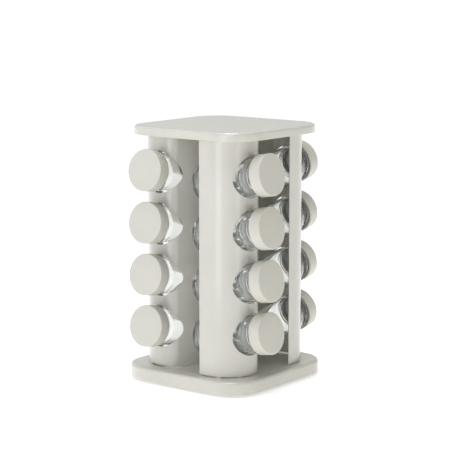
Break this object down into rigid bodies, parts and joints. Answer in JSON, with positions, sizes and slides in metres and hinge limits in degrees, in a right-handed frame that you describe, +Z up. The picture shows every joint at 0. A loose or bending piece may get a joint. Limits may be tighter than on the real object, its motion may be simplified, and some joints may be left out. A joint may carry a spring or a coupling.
{
  "type": "spice carousel",
  "caption": "Revolving square spice tower: curved sheet panels hold tilted glass jars with screw caps between a base and a lid on a ball-bearing foot.",
  "frame": {"origin": "on the table under the turning axis, at the centre of the foot", "axes": "+Z up along the turning axis; +X is the way that jar column a faces"},
  "size_m": [0.205, 0.205, 0.3],
  "materials": {
    "painted_body": "gloss cream enamel",
    "painted_panel": "gloss cream enamel on sheet steel",
    "cap_plastic": "satin cream",
    "jar_glass": "clear polished",
    "sifter_plastic": "milky moulded",
    "foot_plastic": "black moulded",
    "foot_rubber": "matt",
    "rivet_steel": "zinc plated",
    "ball_steel": "polished",
    "cage_plastic": "natural moulded"
  },
  "bodies": {
    "foot": {"turntable_foot": "foot_plastic", "rubber_feet": "foot_rubber", "pivot_rivet": "rivet_steel"},
    "ball_ring": {"ball_cage": "cage_plastic", "bearing_balls": "ball_steel"},
    "carousel": {"base_tray": "painted_body", "top_lid": "painted_body", "lid_plate": "painted_body", "panel_a": "painted_panel", "panel_b": "painted_panel", "panel_c": "painted_panel", "panel_d": "painted_panel"},
    "jar_a1": {"jar_a1": "jar_glass", "sifter_a1": "sifter_plastic"},
    "cap_a1": {"cap_a1": "cap_plastic"},
    "jar_a2": {"jar_a2": "jar_glass", "sifter_a2": "sifter_plastic"},
    "cap_a2": {"cap_a2": "cap_plastic"},
    "jar_a3": {"jar_a3": "jar_glass", "sifter_a3": "sifter_plastic"},
    "cap_a3": {"cap_a3": "cap_plastic"},
    "jar_a4": {"jar_a4": "jar_glass", "sifter_a4": "sifter_plastic"},
    "cap_a4": {"cap_a4": "cap_plastic"},
    "jar_b1": {"jar_b1": "jar_glass", "sifter_b1": "sifter_plastic"},
    "cap_b1": {"cap_b1": "cap_plastic"},
    "jar_b2": {"jar_b2": "jar_glass", "sifter_b2": "sifter_plastic"},
    "cap_b2": {"cap_b2": "cap_plastic"},
    "jar_b3": {"jar_b3": "jar_glass", "sifter_b3": "sifter_plastic"},
    "cap_b3": {"cap_b3": "cap_plastic"},
    "jar_b4": {"jar_b4": "jar_glass", "sifter_b4": "sifter_plastic"},
    "cap_b4": {"cap_b4": "cap_plastic"},
    "jar_c1": {"jar_c1": "jar_glass", "sifter_c1": "sifter_plastic"},
    "cap_c1": {"cap_c1": "cap_plastic"},
    "jar_c2": {"jar_c2": "jar_glass", "sifter_c2": "sifter_plastic"},
    "cap_c2": {"cap_c2": "cap_plastic"},
    "jar_c3": {"jar_c3": "jar_glass", "sifter_c3": "sifter_plastic"},
    "cap_c3": {"cap_c3": "cap_plastic"},
    "jar_c4": {"jar_c4": "jar_glass", "sifter_c4": "sifter_plastic"},
    "cap_c4": {"cap_c4": "cap_plastic"},
    "jar_d1": {"jar_d1": "jar_glass", "sifter_d1": "sifter_plastic"},
    "cap_d1": {"cap_d1": "cap_plastic"},
    "jar_d2": {"jar_d2": "jar_glass", "sifter_d2": "sifter_plastic"},
    "cap_d2": {"cap_d2": "cap_plastic"},
    "jar_d3": {"jar_d3": "jar_glass", "sifter_d3": "sifter_plastic"},
    "cap_d3": {"cap_d3": "cap_plastic"},
    "jar_d4": {"jar_d4": "jar_glass", "sifter_d4": "sifter_plastic"},
    "cap_d4": {"cap_d4": "cap_plastic"}
  },
  "joints": [
    {"name": "carousel_spin", "type": "hinge", "parent": "foot", "child": "carousel", "pos_m": [0, 0, 0.012], "axis": [0, 0, 1], "continuous": true},
    {"name": "ball_ring_spin", "type": "hinge", "parent": "foot", "child": "ball_ring", "pos_m": [0, 0, 0.0105], "axis": [0, 0, 1], "continuous": true},
    {"name": "jar_slide_a1", "type": "slide", "parent": "carousel", "child": "jar_a1", "axis": [0.9848, 0, 0.1736], "range_m": [0, 0.08]},
    {"name": "cap_lift_a1", "type": "slide", "parent": "jar_a1", "child": "cap_a1", "axis": [0.9848, 0, 0.1736], "range_m": [0, 0.02]},
    {"name": "jar_slide_a2", "type": "slide", "parent": "carousel", "child": "jar_a2", "axis": [0.9848, 0, 0.1736], "range_m": [0, 0.08]},
    {"name": "cap_lift_a2", "type": "slide", "parent": "jar_a2", "child": "cap_a2", "axis": [0.9848, 0, 0.1736], "range_m": [0, 0.02]},
    {"name": "jar_slide_a3", "type": "slide", "parent": "carousel", "child": "jar_a3", "axis": [0.9848, 0, 0.1736], "range_m": [0, 0.08]},
    {"name": "cap_lift_a3", "type": "slide", "parent": "jar_a3", "child": "cap_a3", "axis": [0.9848, 0, 0.1736], "range_m": [0, 0.02]},
    {"name": "jar_slide_a4", "type": "slide", "parent": "carousel", "child": "jar_a4", "axis": [0.9848, 0, 0.1736], "range_m": [0, 0.08]},
    {"name": "cap_lift_a4", "type": "slide", "parent": "jar_a4", "child": "cap_a4", "axis": [0.9848, 0, 0.1736], "range_m": [0, 0.02]},
    {"name": "jar_slide_b1", "type": "slide", "parent": "carousel", "child": "jar_b1", "axis": [0, 0.9848, 0.1736], "range_m": [0, 0.08]},
    {"name": "cap_lift_b1", "type": "slide", "parent": "jar_b1", "child": "cap_b1", "axis": [0, 0.9848, 0.1736], "range_m": [0, 0.02]},
    {"name": "jar_slide_b2", "type": "slide", "parent": "carousel", "child": "jar_b2", "axis": [0, 0.9848, 0.1736], "range_m": [0, 0.08]},
    {"name": "cap_lift_b2", "type": "slide", "parent": "jar_b2", "child": "cap_b2", "axis": [0, 0.9848, 0.1736], "range_m": [0, 0.02]},
    {"name": "jar_slide_b3", "type": "slide", "parent": "carousel", "child": "jar_b3", "axis": [0, 0.9848, 0.1736], "range_m": [0, 0.08]},
    {"name": "cap_lift_b3", "type": "slide", "parent": "jar_b3", "child": "cap_b3", "axis": [0, 0.9848, 0.1736], "range_m": [0, 0.02]},
    {"name": "jar_slide_b4", "type": "slide", "parent": "carousel", "child": "jar_b4", "axis": [0, 0.9848, 0.1736], "range_m": [0, 0.08]},
    {"name": "cap_lift_b4", "type": "slide", "parent": "jar_b4", "child": "cap_b4", "axis": [0, 0.9848, 0.1736], "range_m": [0, 0.02]},
    {"name": "jar_slide_c1", "type": "slide", "parent": "carousel", "child": "jar_c1", "axis": [-0.9848, 0, 0.1736], "range_m": [0, 0.08]},
    {"name": "cap_lift_c1", "type": "slide", "parent": "jar_c1", "child": "cap_c1", "axis": [-0.9848, 0, 0.1736], "range_m": [0, 0.02]},
    {"name": "jar_slide_c2", "type": "slide", "parent": "carousel", "child": "jar_c2", "axis": [-0.9848, 0, 0.1736], "range_m": [0, 0.08]},
    {"name": "cap_lift_c2", "type": "slide", "parent": "jar_c2", "child": "cap_c2", "axis": [-0.9848, 0, 0.1736], "range_m": [0, 0.02]},
    {"name": "jar_slide_c3", "type": "slide", "parent": "carousel", "child": "jar_c3", "axis": [-0.9848, 0, 0.1736], "range_m": [0, 0.08]},
    {"name": "cap_lift_c3", "type": "slide", "parent": "jar_c3", "child": "cap_c3", "axis": [-0.9848, 0, 0.1736], "range_m": [0, 0.02]},
    {"name": "jar_slide_c4", "type": "slide", "parent": "carousel", "child": "jar_c4", "axis": [-0.9848, 0, 0.1736], "range_m": [0, 0.08]},
    {"name": "cap_lift_c4", "type": "slide", "parent": "jar_c4", "child": "cap_c4", "axis": [-0.9848, 0, 0.1736], "range_m": [0, 0.02]},
    {"name": "jar_slide_d1", "type": "slide", "parent": "carousel", "child": "jar_d1", "axis": [0, -0.9848, 0.1736], "range_m": [0, 0.08]},
    {"name": "cap_lift_d1", "type": "slide", "parent": "jar_d1", "child": "cap_d1", "axis": [0, -0.9848, 0.1736], "range_m": [0, 0.02]},
    {"name": "jar_slide_d2", "type": "slide", "parent": "carousel", "child": "jar_d2", "axis": [0, -0.9848, 0.1736], "range_m": [0, 0.08]},
    {"name": "cap_lift_d2", "type": "slide", "parent": "jar_d2", "child": "cap_d2", "axis": [0, -0.9848, 0.1736], "range_m": [0, 0.02]},
    {"name": "jar_slide_d3", "type": "slide", "parent": "carousel", "child": "jar_d3", "axis": [0, -0.9848, 0.1736], "range_m": [0, 0.08]},
    {"name": "cap_lift_d3", "type": "slide", "parent": "jar_d3", "child": "cap_d3", "axis": [0, -0.9848, 0.1736], "range_m": [0, 0.02]},
    {"name": "jar_slide_d4", "type": "slide", "parent": "carousel", "child": "jar_d4", "axis": [0, -0.9848, 0.1736], "range_m": [0, 0.08]},
    {"name": "cap_lift_d4", "type": "slide", "parent": "jar_d4", "child": "cap_d4", "axis": [0, -0.9848, 0.1736], "range_m": [0, 0.02]}
  ],
  "couplings": [
    {"joint": "ball_ring_spin", "follows": "carousel_spin", "ratio": 0.5}
  ]
}
